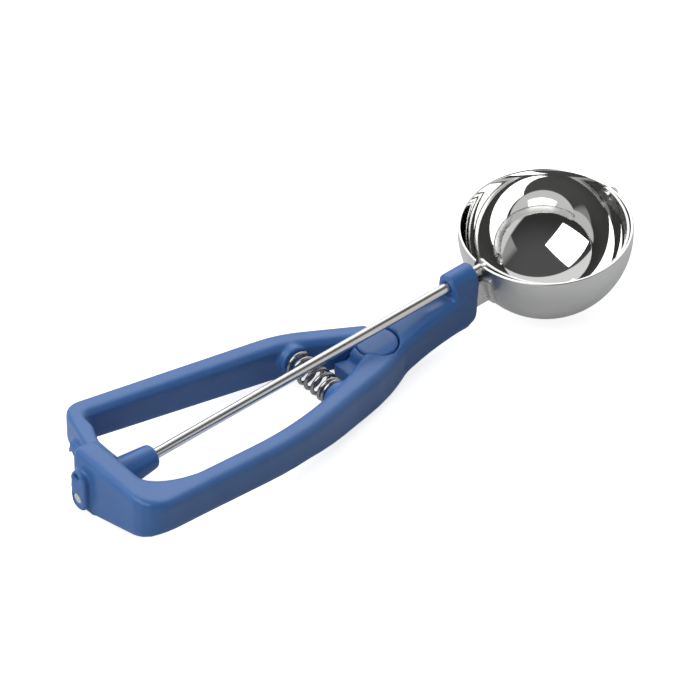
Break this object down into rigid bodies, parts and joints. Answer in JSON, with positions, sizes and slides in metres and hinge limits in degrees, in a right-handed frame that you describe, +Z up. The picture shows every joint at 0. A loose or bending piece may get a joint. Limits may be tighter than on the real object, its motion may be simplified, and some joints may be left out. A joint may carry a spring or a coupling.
{
  "type": "lever_ice_cream_scoop",
  "caption": "Squeeze-handle ice cream scoop: a round steel bowl with a geared scraper blade, a long rod, and a moulded grip with a sprung lever.",
  "frame": {"origin": "the middle of the bounding box on X and Y, on the ground that the tool rests on", "axes": "+X runs along the handle to the bowl, +Y to the lever's side, +Z up, with the tool standing on the bowl and the pad under its tail"},
  "size_m": [0.2243, 0.0625, 0.0347],
  "materials": {
    "handle_plastic": "satin blue moulded polypropylene",
    "gear_plastic": "natural acetal",
    "bright_steel": "polished stainless steel",
    "spring_steel": "bright stainless wire",
    "sheet_steel": "satin stainless sheet",
    "bowl_steel": "stainless steel, mirror inside and satin outside"
  },
  "bodies": {
    "frame": {"frame_handle": "handle_plastic", "bowl": "bowl_steel", "bowl_shank": "sheet_steel", "spring": "spring_steel"},
    "lever": {"lever_handle": "handle_plastic", "pivot_pin": "bright_steel"},
    "scraper": {"rod": "bright_steel", "pinion": "gear_plastic", "scraper_blade": "sheet_steel", "tip_rivet": "bright_steel"}
  },
  "joints": [
    {"name": "lever_pivot", "type": "hinge", "parent": "frame", "child": "lever", "pos_m": [0.01204, 0.0028, 0.01389], "axis": [-0.1204, 0, 0.9927], "range_deg": [0, 5.12], "stiffness_Nm_per_rad": 1.2, "springref_deg": -6.88, "deforming": ["spring"]},
    {"name": "scraper_turn", "type": "hinge", "parent": "frame", "child": "scraper", "pos_m": [0.08178, 0.0028, 0.0285], "axis": [0.9927, 0, 0.1204], "range_deg": [0, 170]}
  ],
  "couplings": [
    {"joint": "scraper_turn", "follows": "lever_pivot", "ratio": 33.185}
  ]
}
